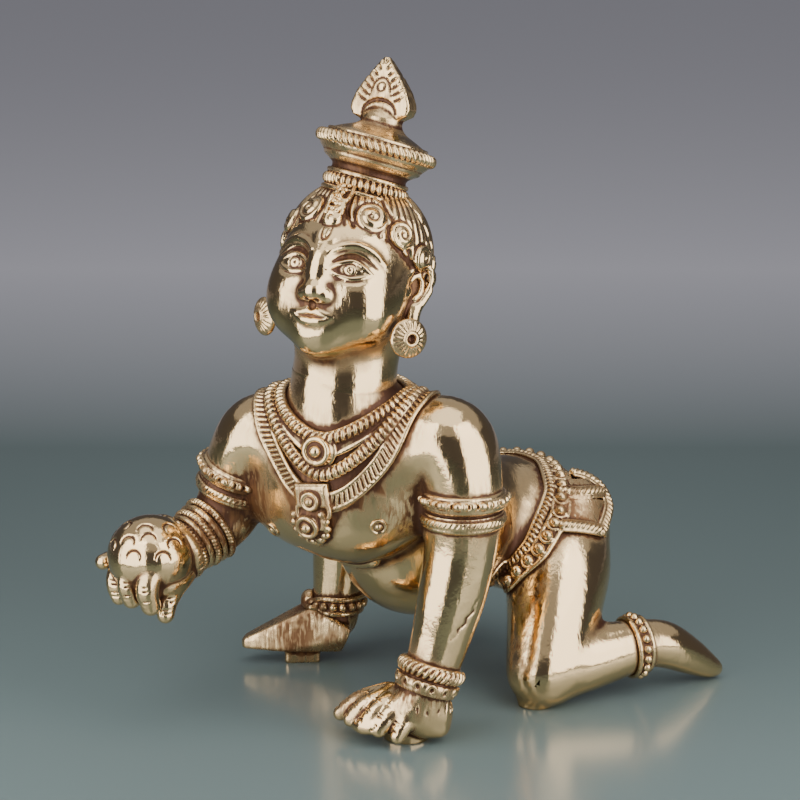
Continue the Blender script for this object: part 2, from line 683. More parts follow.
arms = Wax((-23, -28, 22), (25, 4, 40), 0.26)
arms.press_on(left_arm)
arms.press_on(right_arm)
armlet("left_armlet", [((16.2, -5.2, 32.4), (0, 0, 1), motifs),
                       ((16.1, -5.2, 29.8), (0, 0, 1), notches)], 5.3, (8, 8, 4.5), arms)
armlet("right_armlet", [((-14.7, -15.9, 32.5), (0.35, 0.1, 1), motifs),
                        ((-15.6, -16.1, 30.0), (0.3, 0.15, 1), notches)], 4.9, (8, 8, 6.0), arms)
armlet("left_bangles", [((14.5, -9.6, 9.8), (0.1, 0.35, 1), thick_rope),
                        ((14.2, -10.2, 7.9), (0.1, 0.35, 1), scallops)], 3.9, (6, 6, 4.5))
armlet("right_bangles", [((-17.3, -19.2, 24.9), (0.1, 1, 0.45), thin_rope),
                         ((-17.4, -20.3, 24.4), (0.1, 1, 0.45), wire),
                         ((-17.5, -21.3, 24.0), (0.1, 1, 0.45), thin_rope),
                         ((-17.6, -22.3, 23.6), (0.1, 1, 0.45), wire),
                         ((-17.6, -23.3, 23.2), (0.1, 1, 0.45), thin_rope),
                         ((-17.7, -24.4, 22.8), (0.1, 1, 0.45), wire)], 3.9, (6, 6, 6))
armlet("left_anklet", [((22.2, 23.8, 6.5), (0.42, 0.9, 0.05), bead_row)], 3.6, (5.5, 5.5, 5.5))
armlet("right_anklet", [((-18.0, 5.8, 8.6), (0, 0.05, 1), bead_row),
                        ((-21.0, 3.0, 9.2), (0, 0, 1), knob)], 3.8, (7.2, 7.2, 4.5))

# Belt and sash.
# A belt of a notched cord and arched beads round the hips, with two panels of the sash lying on
# each hip and its ends hanging behind. All of it is wax work, cast in brass with the figure.
HIPS_MIDDLE = 0.8                          # the hips lie this far to the left


def girdle(points):
    """A closed row round the hips from points on the left side, mirrored to the right."""
    points = np.asarray(points, float)
    other = points[::-1] * (-1, 1, 1) + (2 * HIPS_MIDDLE, 0, 0)
    return smooth_path(np.vstack([points, other]), 5, True)


inner = girdle([(2.4, 24.6, 29.5), (4.6, 24.2, 29.4), (8.3, 21.4, 28.6), (10.4, 19.5, 27.3),
                (11.1, 17.8, 25.9), (11.4, 16.2, 24.2), (11.5, 14.8, 22.0), (11.2, 14.0, 20.2),
                (9.8, 12.0, 18.4), (7.4, 9.6, 16.0), (3.6, 8.4, 13.2)])
middle = girdle([(2.6, 26.0, 28.9), (5.2, 25.4, 28.9), (8.2, 23.4, 28.6), (10.8, 21.3, 27.6),
                 (12.1, 19.5, 26.2), (13.0, 18.2, 24.8), (13.3, 16.8, 23.5), (13.3, 15.2, 21.6),
                 (12.9, 13.9, 19.6), (11.3, 12.2, 17.6), (8.4, 10.6, 15.0), (3.8, 9.8, 12.4)])
belt = Wax((-18, 8, 8), (19.5, 34, 33), 0.17)
band(belt, body, middle, 1.0, 0.4, True)
notched(belt, body, inner, 0.62, 0.72, 0.17, 0.1)
cord(belt, body, inner, 0.26, 0.2, True, -0.8)
cord(belt, body, middle, 0.32, 0.3, True, 1.2)
cord(belt, body, middle, 0.26, 0.35, True, -1.05)
for spot, axes in threaded(body, middle, 2.1, 0.55, True):
    belt.press_on(egg(spot, (0.74, 0.82, 0.85), axes), 0.06)
    curve = [spot + axes[:, 0] * (0.95 * math.cos(t) + 0.12) + axes[:, 1] * 0.98 * math.sin(t)
             - axes[:, 2] * 0.05 for t in np.linspace(-1.5, 1.5, 9)]
    belt.string(curve, 0.22, 0.05)


def on_hip(rows, side):
    """Places on the left hip, or mirrored on the right."""
    return np.array(rows) * (side, 1, 1) + (0 if side > 0 else 2 * HIPS_MIDDLE, 0, 0)


# The sash lies in two panels on each hip, edged with twisted rope
panels = ((((11.4, 21.4, 27.6), (12.2, 23.4, 27.2), (12.4, 25.6, 26.6)), 1.1),
          (((13.2, 18.8, 25.0), (14.4, 21.0, 24.8), (14.8, 23.4, 24.3), (14.9, 25.2, 23.8)), 1.75))
ropes = (((11.6, 20.2, 27.0), (12.4, 21.3, 26.6), (13.0, 23.0, 26.2), (12.9, 25.6, 25.5)),
         ((14.2, 17.2, 23.5), (14.9, 18.3, 23.2), (15.9, 20.2, 22.8), (16.4, 22.2, 22.2)),
         ((10.2, 24.4, 28.5), (11.4, 25.8, 27.6), (12.4, 26.2, 26.4), (13.0, 25.8, 25.2)),
         ((13.0, 25.8, 25.2), (14.4, 25.6, 24.4), (15.5, 24.2, 23.2), (16.4, 22.4, 21.8)))
for side in (1, -1):
    for rows, half in panels:
        band(belt, body, smooth_path(on_hip(rows, side), 5), half, 0.5)
    for rows in ropes:
        path, out = body.settle(smooth_path(on_hip(rows, side), 4))
        notched(belt, body, path, 0.62, 0.6, 0.15, 0.4, 0.7, False)
        edge_cords(belt, body, path, 0.26, 0.5, 0.75)

# Its two ends hang behind
for side in (1, -1):
    tail = smooth_path([(aside * side + HIPS_MIDDLE, back, up)
                        for aside, back, up in ((3.2, 28.2, 25.0), (4.0, 29.4, 21.5),
                                                (4.4, 29.2, 17.0), (4.2, 27.6, 13.5))], 6)
    band(belt, body, tail, 1.3, 0.5)
    edge_cords(belt, body, tail, 0.28, 0.5, 1.2)
cast(belt, "belt_and_sash")

# Head: a calm child's face, ears and neck.
# Cast in brass in one with the trunk. The face is finished with files and fine chisels; the
# neck runs down under the inner necklace.
HEAD = np.array([0.0, -9.6, 60.6])
NOD = turn(math.radians(21), math.radians(-17), math.radians(4))


def on_head(rows):
    """Head coordinates (left, back, up) to pose millimetres."""
    return np.asarray(rows, float) @ NOD.T + HEAD


def head_egg(place, radii, swing=0.0):
    """An ellipsoid in head coordinates, swung about the upright axis in degrees."""
    return egg(on_head(place), radii, NOD @ turn(math.radians(swing)))


def on_face(rows, lift=0.0):
    """Places on the skin of the face from (left, up) rows."""
    rows = np.asarray(rows, float)
    ahead = -13.5                          # in front of the nose, where the search starts
    start = on_head(np.column_stack([rows[:, 0], np.full(len(rows), ahead), rows[:, 1]]))
    back = NOD[:, 1]
    steps = np.arange(0, 13, 0.08)
    walk = start[:, None, :] + steps[None, :, None] * back
    inside = head.read(walk.reshape(-1, 3)).reshape(len(rows), -1) < 0
    spots, out = head.settle(start + np.outer(steps[inside.argmax(1)], back), lift, 3)
    return spots


def swelling(path, thick):
    """A strand that is full in the middle and dies away at both ends."""
    share = np.sin(np.linspace(0, math.pi, len(path)) * 0.94 + 0.09) ** 0.6
    return limb(np.column_stack([path, thick * share]), 1)


head = Wax((-14, -22.5, 43.4), (14.5, 4.6, 73.6), 0.15)
for place, radii, blend in (((0, -0.1, -0.4), (9.1, 9.8, 11.5), 0.0),
                            ((4.3, -4.6, -4.4), (4.1, 4.2, 4.8), 3.0),
                            ((-4.3, -4.6, -4.4), (4.1, 4.2, 4.8), 3.0),
                            ((0, -6.2, -9.0), (3.0, 2.7, 2.6), 3.0),
                            ((0, -7.4, -6.4), (3.4, 2.0, 2.6), 2.2)):
    head.press_on(head_egg(place, radii), blend)
head.press_on(limb([(0.1, -10.9, 41.5, 6.7), (0.1, -10.9, 45.6, 6.9), (0.1, -10.3, 49.5, 6.8),
                    (0.2, -9.2, 54, 6.9)]), 1.6)
head.soften(0.35)

# Eye hollows, nose, brows, lids and lips
for side in (1, -1):
    head.carve(head_egg((3.8 * side, -10.5, 0.2), (2.9, 1.7, 1.8), 22 * side), 1.8)
    head.press_on(head_egg((3.75 * side, -7.6, -0.4), (2.5, 1.55, 1.3), 19 * side), 0.7)
for place, radii, blend in (((0, -9.2, 1.2), (1.3, 1.0, 2.6), 2.0),
                            ((0, -9.7, -1.4), (1.3, 1.35, 2.7), 1.6),
                            ((0, -10.4, -3.7), (1.4, 1.35, 1.25), 1.0),
                            ((1.5, -9.6, -4.1), (0.85, 1.1, 0.85), 0.7),
                            ((-1.5, -9.6, -4.1), (0.85, 1.1, 0.85), 0.7)):
    head.press_on(head_egg(place, radii), blend)
for side in (1, -1):
    head.carve(head_egg((0.75 * side, -10.7, -4.95), (0.38, 0.5, 0.3)), 0.15)
    brow = [(1.2 * side, 1.5), (2.6 * side, 2.5), (4.3 * side, 2.85), (6.0 * side, 2.25),
            (7.3 * side, 1.0)]
    lid = [(1.4 * side, -0.85), (2.4 * side, 0.2), (3.8 * side, 0.7), (5.1 * side, 0.35),
           (6.5 * side, -0.55)]
    under = [(1.4 * side, -0.85), (2.6 * side, -1.35), (4.0 * side, -1.5), (5.3 * side, -1.2),
             (6.5 * side, -0.55)]
    fold = [(1.7 * side, 0.3), (2.6 * side, 1.15), (3.9 * side, 1.55), (5.3 * side, 1.2),
            (6.8 * side, 0.35)]
    brow = on_face(smooth_path(brow, 6), 0.02)
    lid, under, fold = [on_face(smooth_path(row, 6)) for row in (lid, under, fold)]
    iris = on_face([(3.9 * side + 0.75 * math.cos(a), -0.4 + 0.75 * math.sin(a))
                    for a in np.arange(20) * math.tau / 20])
    pupil = on_face([(3.9 * side, -0.4)])[0]
    head.score(brow + (0, 0, 0.42), 0.14, 0.1)
    head.press_on(swelling(brow, 0.34), 0.5)
    head.score(fold, 0.16, 0.2)
    head.press_on(swelling(lid, 0.32), 0.15)
    head.press_on(swelling(under, 0.24), 0.15)
    head.score(iris, 0.1, 0.05, True)
    head.carve(egg(pupil, (0.24, 0.24, 0.24)), 0.08)
parting = [(-3.0, -6.6), (-2.2, -6.82), (-1.2, -6.92), (-0.4, -6.84), (0, -6.92), (0.4, -6.84),
           (1.2, -6.92), (2.2, -6.82), (3.0, -6.6)]
upper = [(-2.7, -6.6), (-1.6, -6.5), (-0.6, -6.3), (0, -6.42), (0.6, -6.3), (1.6, -6.5),
         (2.7, -6.6)]
lower = [(-2.3, -6.95), (-1.2, -7.35), (0, -7.5), (1.2, -7.35), (2.3, -6.95)]
parting, upper, lower = [on_face(smooth_path(row, 5), lift)
                         for row, lift in ((parting, 0.3), (upper, -0.1), (lower, -0.1))]
head.press_on(swelling(lower, 0.55), 0.5)
head.press_on(swelling(upper, 0.44), 0.5)
head.score(parting, 0.26, 0.06)
head.score(on_face([(0, -5.2), (0, -5.5), (0, -5.8)], 0.2), 0.26, 0.6)
mark = [(-0.6, 4.5), (-0.58, 3.8), (-0.35, 3.2), (0, 3.0), (0.35, 3.2), (0.58, 3.8), (0.6, 4.5)]
head.score(on_face(smooth_path(mark, 4)), 0.28, 0.06)
head.carve(bone(on_face([(0, 4.2)])[0], on_face([(0, 3.7)])[0], 0.13, 0.17), 0.08)

# Ears: a rim curled round a hollow, with a long lobe down to the earring
for side in (1, -1):
    ear = NOD @ turn(math.radians(62 * side))

    def on_ear(u, v, lift):
        return on_head((8.8 * side, 0.6, -0.8)) + ear @ np.array([u * side, -lift, v])

    head.press_on(egg(on_ear(0.1, 0.1, -0.5), (2.0, 1.2, 3.3), ear), 0.5)
    head.carve(egg(on_ear(-0.3, 0.4, 1.1), (1.2, 0.95, 2.2), ear), 0.3)
    rim = [(-1.5, -0.6, 0.2), (-1.6, 1.4, 0.4), (-0.7, 3.0, 0.7), (0.8, 3.3, 0.9), (2.0, 2.2, 1.0),
           (2.1, 0.4, 0.9), (1.4, -1.4, 0.7), (0.7, -2.6, 0.6), (0.3, -3.8, 0.5)]
    head.string([on_ear(*row) for row in smooth_path(rim, 5)], 0.52, 0.25)
    fold = [(-1.3, 0.4, 0.4), (-0.3, 1.6, 0.6), (0.7, 1.2, 0.7), (0.9, -0.4, 0.6), (0.1, -1.3, 0.6)]
    head.string([on_ear(*row) for row in smooth_path(fold, 5)], 0.32, 0.2)
    head.press_on(egg(on_ear(-1.2, -0.6, 0.6), (0.5, 0.5, 0.8), ear), 0.3)
    head.press_on(limb([(*on_ear(0.5, -2.6, 0.2), 1.0), (*on_ear(0.5, -4.2, 0.4), 1.0)]), 0.5)

# Hair.
# A cap of locks that end in curls along the brow and the nape, combed lines between them, and
# a beaded parting. Modelled on the wax of the head and cast in brass with it, lines recut.
CAP = np.array([0.1, 1.3, 2.7])
CAP_SIZE = np.array([10.0, 9.7, 10.0])
hair_line = np.array([[0, 5.3], [14, 5.1], [26, 5.3], [38, 4.6], [46, 4.4], [56, 3.8], [67, 2.8],
                      [83, 1.6], [94, 0.4], [112, -3.4], [140, -6.2], [180, -7.0]])


def above_hair_line(own):
    """How far places in head coordinates lie above the hair line."""
    about = np.degrees(np.arctan2(np.abs(own[0]), -(own[1] - CAP[1] + 0.8)))
    return own[2] - np.interp(about, hair_line[:, 0], hair_line[:, 1])


def cap_form():
    low, high, away = head_egg(CAP, CAP_SIZE)

    def cut(x, y, z):
        return np.maximum(away(x, y, z), above_hair_line(own_axes(x, y, z, HEAD, NOD)) * -0.75)
    return low, high, cut


def on_cap(about, rise):
    """A place on the cap: degrees round from the brow, height in head coordinates."""
    a = math.radians(about)
    level = (rise - CAP[2]) / CAP_SIZE[2]
    wide = math.sqrt(max(1 - level * level, 0.01))
    return on_head(CAP + CAP_SIZE * (wide * math.sin(a), -wide * math.cos(a), level))


head.press_on(cap_form(), 0.3)
curls = []
for about, rise, size in ((29, 7.0, 2.1), (56, 5.5, 1.9), (81, 3.2, 1.8), (105, -0.2, 1.9),
                          (130, -3.2, 1.9), (155, -4.7, 1.9), (180, -5.2, 1.9), (118, 2.9, 1.6),
                          (143, 0.3, 1.7), (168, -1.0, 1.7)):
    for side in (1, -1)[:1 if about == 180 else 2]:
        curls.append((on_cap(about * side, rise), size, side))
for place, size, side in curls:
    if place[2] < 70:
        axes = facing(place - on_head(CAP))
        head.press_on(egg(place - axes[:, 2] * 0.15, (size, size * 0.92, 0.62), axes), 0.35)

# Each curl winds in from its own edge; beyond the curls the hair is combed up to the crown
cells, x, y, z = head.window(on_head(CAP) - 11.5, on_head(CAP) + 11.5)
own = own_axes(x, y, z, HEAD, NOD)
above = above_hair_line(own)
skin = (own[0] ** 2 / 9.45 ** 2 + (own[1] - CAP[1]) ** 2 / 9.15 ** 2
        + (own[2] - CAP[2]) ** 2 / 9.45 ** 2)
nearest = np.full(skin.shape, 99.0, np.float32)
second = nearest.copy()
wind = nearest.copy()
for place, size, side in curls:
    axes = facing(place - on_head(CAP))
    u, v, w = own_axes(x, y, z, place, axes)
    away = np.sqrt(u * u + v * v + w * w) * (2.0 / size)
    closer = away < nearest
    second = np.where(closer, nearest, np.minimum(second, away))
    wind = np.where(closer, away / 0.9 - side * np.arctan2(v, u * side) / math.tau, wind)
    nearest = np.where(closer, away, nearest)
line = (0.5 + 0.5 * np.cos(math.tau * wind)) ** 1.6
swing = np.arctan2(own[0], -(own[1] - CAP[1]))
combed = (0.5 + 0.5 * np.cos(54 * swing + 0.5 * own[2])) ** 1.4
locks = np.exp(-(np.sin(4.5 * swing + 0.35 * own[2]) / 0.16) ** 2)
free = np.clip((nearest - 2.1) / 0.25, 0, 1)
line = line * (1 - free) + (combed * 0.75 + locks * 1.5) * free
valley = (np.exp(-((second - nearest) / 0.32) ** 2) * (1 - free)
          + np.exp(-((nearest - 2.15) / 0.2) ** 2))
strip = np.clip((1.25 - np.abs(own[0])) / 0.3, 0, 1) * np.clip(-own[1] / 2, 0, 1)
depth = (0.24 * line + 0.16 * valley) * (1 - strip)
depth = depth * np.clip(above / 0.5 + 0.7, 0, 1) * np.clip((skin - 1) / 0.03, 0, 1)
head.gap[cells] += depth.astype(np.float32)

# Parting: two raised borders, two columns of beads, and a curl where it meets the brow
seam = [on_head((0, CAP[1] - CAP_SIZE[1] * math.cos(a), CAP[2] + CAP_SIZE[2] * math.sin(a)))
        for a in np.radians(range(20, 72, 4))]
for spot, axes in threaded(head, seam, 0.5):
    head.press_on(slab(spot, (0.4, 1.05, 0.35), axes, 0.2), 0.1)
edge_cords(head, head, seam, 0.25, 0.3, 0.95)
for slide in (0.38, -0.38):
    for spot, axes in threaded(head, seam, 0.82, 0.32, False, slide):
        head.press_on(egg(spot, (0.34, 0.34, 0.34)), 0.05)
tip = on_head((0.0, CAP[1] - 9.4, 5.6))
tip, out = head.settle([tip], 0.1)
head.press_on(egg(tip[0], (1.25, 1.15, 0.7), facing(out[0])), 0.15)
swirl = [tip[0] + facing(out[0]) @ np.array([0.16 * t * math.cos(t), 0.16 * t * math.sin(t), 0.62])
         for t in np.arange(0.6, 6.6, 0.35)]
head.score(swirl, 0.16, 0.05)
cast(head, "head_and_neck")

# Earrings.
# Fluted brass discs with a ringed hole in the middle, one under each ear lobe. Cast with the
# head, the flutes cut in from both faces.
for name, centre, about in (("left_earring", (10.6, -9.8, 53.4), 68),
                            ("right_earring", (-10.4, -14.9, 54.2), -16)):
    centre = np.array(centre)
    disc = Wax(centre - 3.6, centre + 3.6, 0.13)
    a = math.radians(about)
    axes = facing((math.sin(a), -math.cos(a), 0.05))
    disc.press_on(egg(centre, (2.45, 2.45, 1.15), axes), 0.0)
    disc.press_on(ring(centre, 2.15, 0.42, axes), 0.15)
    for k in range(20):
        t = math.tau * k / 20
        ray = axes[:, 0] * math.cos(t) + axes[:, 1] * math.sin(t)
        for face in (1, -1):
            rise = axes[:, 2] * face
            flute = bone(centre + ray * 1.0 + rise * 1.1, centre + ray * 2.5 + rise * 0.55,
                         0.15, 0.2)
            disc.carve(flute, 0.08)
    for face in (1, -1):
        rise = axes[:, 2] * face
        disc.press_on(ring(centre + rise * 0.98, 0.82, 0.22, axes), 0.08)
        disc.carve(egg(centre + rise * 1.1, (0.6, 0.6, 0.7), axes), 0.1)
    cast(disc, name)

# Crown and crest.
# A turned crown with a ribbed band, a wide roped rim and a domed top, and a leaf crest whose
# flat faces are cut with strokes. Cast in brass with the head.
CROWN = np.array([-0.2, -7.0, 69.8])
LEAN = turn(0.0, math.radians(-17), math.radians(5))


def turned(centre, axes, profile):
    """A form turned about the third of axes from (height, radius) rows."""
    rows = np.array([(profile[0][0], 0.0), *profile, (profile[-1][0], 0.0)], float)
    wide = rows[:, 1].max()
    corners = np.array([centre + axes @ np.array([u, v, w]) for u in (-wide, wide)
                        for v in (-wide, wide) for w in (rows[:, 0].min(), rows[:, 0].max())])

    def away(x, y, z):
        own = own_axes(x, y, z, centre, axes)
        r, h = np.sqrt(own[0] ** 2 + own[1] ** 2), own[2] + 0 * own[0]
        best = np.full(r.shape, 1e9, np.float32)
        inside = np.zeros(r.shape, bool)
        for (h0, r0), (h1, r1) in zip(rows[:-1], rows[1:]):
            dh, dr = h1 - h0, r1 - r0
            t = np.clip(((h - h0) * dh + (r - r0) * dr) / (dh * dh + dr * dr + 1e-9), 0, 1)
            best = np.minimum(best, (h - h0 - t * dh) ** 2 + (r - r0 - t * dr) ** 2)
            if dh:
                crosses = ((h0 <= h) & (h < h1)) | ((h1 <= h) & (h < h0))
                inside ^= crosses & (r < r0 + (h - h0) / dh * dr)
        return np.sqrt(best) * np.where(inside, -1, 1)
    return corners.min(0), corners.max(0), away


crown = Wax((-10.5, -19, 66), (10.5, 4, 90), 0.16)
crown.press_on(turned(CROWN, LEAN, [(-3.0, 6.4), (0.4, 5.3), (1.1, 5.0), (2.9, 5.1), (3.3, 4.9),
                                    (3.9, 5.0), (4.2, 5.6), (4.55, 6.1), (4.7, 6.5), (4.95, 6.6),
                                    (5.15, 6.3), (5.4, 6.8), (5.8, 7.2), (6.2, 7.4), (7.3, 7.35),
                                    (7.9, 6.6), (8.4, 5.8), (8.8, 5.0), (9.1, 4.2), (9.5, 3.3),
                                    (10.2, 2.6), (11.2, 2.3), (12.5, 1.2)]), 0.0)
crown.soften(0.2)


def crown_ring(height, radius):
    """A circle of places round the crown."""
    a = np.arange(90) * math.tau / 90
    rows = np.column_stack([radius * np.cos(a), radius * np.sin(a), np.full(90, height)])
    return rows @ LEAN.T + CROWN


def rope(path, pitch, radii, slant, lift, blend):
    """Slanted grains side by side round the crown, like the turns of a rope."""
    c, s = math.cos(slant), math.sin(slant)
    for spot, axes in threaded(crown, path, pitch, lift, True):
        swung = np.column_stack([axes[:, 0] * c + axes[:, 1] * s,
                                 axes[:, 1] * c - axes[:, 0] * s, axes[:, 2]])
        crown.press_on(egg(spot, radii, swung), blend)


rope(crown_ring(6.95, 7.35), 0.86, (0.4, 0.95, 0.72), 0.55, 0.04, 0.04)
cord(crown, crown, crown_ring(8.0, 6.5), 0.22, 0.05, True)
rope(crown_ring(1.75, 5.05), 0.8, (0.4, 0.75, 0.6), 0.15, 0.15, 0.08)
cord(crown, crown, crown_ring(2.85, 5.15), 0.3, 0.1, True)
cord(crown, crown, crown_ring(0.55, 5.3), 0.34, 0.1, True)

# The leaf stands on a short stem; its outline is rows of (share of height, share of half width)
stem = CROWN + LEAN @ np.array([0, 0, 9.9])
leaf = turn(math.radians(13), math.radians(-10))
leaf_tall = (TALL - stem[2]) / math.cos(math.radians(10)) + 0.1
LEAF_HALF = 4.4
SOFT = 0.3                                 # roundness of the leaf's edges
outline = np.array([(0.00, 0.34), (0.07, 0.60), (0.15, 0.92), (0.24, 1.00), (0.33, 0.98),
                    (0.50, 0.84), (0.68, 0.60), (0.84, 0.34), (0.94, 0.18), (1.0, 0.08)])


def leaf_half(share):
    """Half the leaf's width at a share of its height."""
    return np.interp(share, outline[:, 0], outline[:, 1]) * LEAF_HALF


def leaf_form():
    def away(x, y, z):
        u, v, w = own_axes(x, y, z, stem, leaf)
        half = leaf_half(w / leaf_tall)
        side = (np.abs(u) - half) * 0.78
        ends = np.maximum(-w, w - leaf_tall)
        thick = (0.55 + 0.9 * np.clip(half / LEAF_HALF, 0, 1)
                 - 0.25 * np.clip(np.abs(u) / LEAF_HALF, 0, 1))
        flat = np.abs(v) - thick
        past = np.sqrt(np.maximum(side + SOFT, 0) ** 2 + np.maximum(flat + SOFT, 0) ** 2)
        inner = np.minimum(np.maximum(side, flat) + SOFT, 0)
        return np.maximum(past + inner - SOFT, ends)
    reach = np.array([6.5, 4.5, leaf_tall + 1])
    return stem - reach, stem + reach, away


def on_leaf(front, rows):
    """Places on the front (-1) or back (1) of the leaf from (across, up) rows."""
    spots = []
    for u, w in rows:
        start = stem + leaf @ np.array([u, 2.6 * front, w])
        walk = start - np.outer(np.arange(0, 3, 0.05), leaf[:, 1]) * front
        spots.append(walk[(crown.read(walk) < 0).argmax()])
    return spots


def bow(wide, tall, height, turns):
    """A curved row on the leaf, round a middle that lies height above the stem."""
    return [(wide * math.cos(t), height + tall * math.sin(t)) for t in turns]


crown.press_on(leaf_form(), 0.5)
crown.press_on(egg(stem + (0, 0, 0.7), (2.7, 2.3, 1.2), LEAN), 0.5)
for front in (-1, 1):
    for side in (1, -1):
        for k in range(9):
            height = 3.0 + 0.85 * k
            reach = leaf_half(height / leaf_tall + 0.06)
            a, b = (side * reach * 0.42, height), (side * reach * 0.86, height + 0.95)
            stroke = [(a[0] + (b[0] - a[0]) * t, a[1] + (b[1] - a[1]) * t ** 1.5)
                      for t in (0, 0.33, 0.66, 1)]
            crown.score(on_leaf(front, stroke), 0.2, 0.08)
    foot_arc = bow(2.6, 2.1, 1.2, np.linspace(0.15, math.pi - 0.15, 12))
    crown.score(on_leaf(front, foot_arc), 0.3, 0.1)
    arch = bow(1.5, 2.6, 3.6, np.linspace(0.2, math.pi - 0.2, 12))
    crown.score(on_leaf(front, arch), 0.2, 0.1)
    eye = bow(0.6, 0.6, 5.0, np.arange(10) * math.tau / 10)
    crown.score(on_leaf(front, eye), 0.13, 0.05, True)
cast(crown, "crown_and_crest")

# Hands.
# The left palm lies flat on the floor on its casting pad; the right is cupped under a ball of
# butter, its fingers hanging in front. Cast in brass with the arms, nails and folds cut in.
palm = Wax((1.5, -22, -1.5), (19, -3, 11), 0.15)
palm.press_on(limb([(14.6, -9.6, 10, 3.5), (14.0, -10.6, 6.5, 3.3), (12.8, -11.0, 4.6, 3.0)]), 0.0)
palm.press_on(egg((12.3, -10.8, 4.3), (5.0, 4.2, 3.0), turn(math.radians(43))), 1.6)
palm.press_on(slab((14.4, -9.2, 2.9), (2.3, 2.6, 2.2), turn(math.radians(43)), 1.6), 1.6)
palm.press_on(egg((9.7, -13.8, 3.4), (3.6, 4.4, 1.8), turn(math.radians(-20), math.radians(14))),
              1.0)
fingers = [np.array(rows) for rows in (
    ((9.0, -12.0, 5.8, 1.6), (6.8, -14.2, 5.0, 1.45), (5.6, -15.4, 4.1, 1.3),
     (4.5, -16.3, 3.1, 1.0)),
    ((9.9, -11.9, 6.0, 1.5), (8.6, -14.3, 5.2, 1.4), (7.7, -15.8, 4.2, 1.3),
     (6.9, -16.8, 3.0, 1.05)),
    ((10.9, -11.5, 6.0, 1.5), (10.3, -14.2, 5.1, 1.4), (9.9, -15.8, 4.0, 1.3),
     (9.4, -16.9, 2.8, 1.05)),
    ((12.0, -11.2, 5.8, 1.5), (11.9, -13.7, 4.8, 1.4), (11.7, -15.2, 3.7, 1.3),
     (11.4, -16.2, 2.5, 1.05)),
    ((13.4, -11.2, 5.0, 1.5), (13.8, -13.2, 4.0, 1.4), (13.8, -14.4, 3.0, 1.25),
     (13.7, -15.2, 1.9, 1.0)))]
for rows in fingers:
    palm.press_on(limb(rows), 0.35)

# Furrows between the fingers, nails, and folds over the knuckles
FOLD = (-1, -0.5, 0, 0.5, 1)               # shares of a fold's half length
for one, two in zip(fingers[:-1], fingers[1:]):
    furrow = (one[:, :3] + two[:, :3]) / 2 + (0, 0, 0.75)
    palm.score(smooth_path(furrow[:3], 4), 0.3, 0.25)
for rows in fingers:
    ahead = rows[3, :3] - rows[2, :3]
    ahead = ahead / np.linalg.norm(ahead)
    across = np.cross(ahead, (0, 0, 1.0))
    across = across / np.linalg.norm(across)
    top = np.cross(across, ahead)
    nail = rows[3, :3] + top * rows[3, 3] * 0.98 + ahead * 0.15
    palm.score([nail + ahead * 0.5 * math.cos(t) + across * 0.55 * math.sin(t)
                for t in np.arange(12) * math.tau / 12], 0.13, 0.05, True)
    for row in (1, 2):
        knuckle = rows[row, :3] + top * rows[row, 3] * 1.02
        for step in (-0.22, 0.22):
            palm.score([knuckle + across * s * 0.85 + ahead * step - top * abs(s) * 0.35
                        for s in FOLD], 0.12, 0.05)
for k in range(7):                         # file marks down the side of the palm
    spot, out = palm.settle([(14.3 + 0.24 * k, -12.0 + 0.62 * k, 4.9)])
    palm.score([spot[0] + (-0.3, 0.3, 1.1), spot[0], spot[0] + (0.3, -0.3, -1.1)], 0.16, 0.05)
z = palm.window(palm.low, palm.high)[3]
palm.gap = np.maximum(palm.gap, 0.8 - z)   # the palm is flat underneath, and its pad stands proud
palm.press_on(bone((11.2, -10.7, -2.0), (11.2, -10.7, 1.5), 2.9, 3.2), 0.4)
palm.gap = np.maximum(np.maximum(palm.gap, -z), z - 9.2)
cast(palm, "left_hand")

BALL = np.array([-18.0, -29.1, 23.0])
cup = Wax((-26.5, -37.5, 11.5), (-9, -21, 30.5), 0.15)
cup.press_on(limb([(-17.2, -20.6, 24.2, 3.9), (-17.6, -24.0, 22.9, 3.6),
                   (-17.7, -26.2, 21.6, 3.9)]), 0.0)
cup.press_on(egg((-17.9, -28.2, 19.8), (5.0, 4.7, 2.5), turn(0.0, math.radians(8))), 1.2)
cup.press_on(egg((-17.7, -30.4, 19.7), (4.6, 2.2, 1.8), turn(math.radians(14))), 0.8)
fingers = []
for rows in (((-21.9, -29.6, 20.6, 1.3), (-22.3, -31.2, 20.4, 1.25), (-22.1, -31.9, 18.8, 1.2),
              (-21.7, -31.6, 17.0, 1.1)),
             ((-17.9, -30.7, 21.0, 1.45), (-17.9, -32.7, 21.4, 1.45), (-17.7, -33.5, 19.8, 1.35),
              (-17.5, -33.0, 17.9, 1.25)),
             ((-15.1, -29.8, 21.0, 1.65), (-14.8, -31.9, 21.4, 1.65), (-14.6, -32.8, 19.6, 1.55),
              (-14.5, -32.3, 17.5, 1.35)),
             ((-15.5, -26.3, 20.6, 2.0), (-15.0, -28.0, 18.9, 1.65), (-14.7, -29.3, 17.3, 1.4),
              (-14.4, -29.9, 15.7, 1.15))):
    cup.press_on(limb(rows), 0.55)
    fingers.append(np.array(rows))
cup.press_on(egg((-16.2, -31.9, 19.2), (1.7, 1.0, 1.9)), 0.5)
cup.press_on(egg((-20.0, -31.4, 19.2), (2.0, 1.0, 1.9)), 0.5)
cup.press_on(limb([(-21.6, -25.6, 20.6, 1.6), (-23.9, -28.2, 20.8, 1.4), (-24.6, -30.4, 21.3, 1.2),
                   (-24.6, -31.8, 21.3, 1.05)]), 0.5)
cup.press_on(egg(BALL, (5.75, 5.75, 5.4)), 0.3)
cup.string(round_limb((-17.7, -24.8, 23.3), (0.1, 1, 0.45), 4.0), 0.95, 0.3, True)

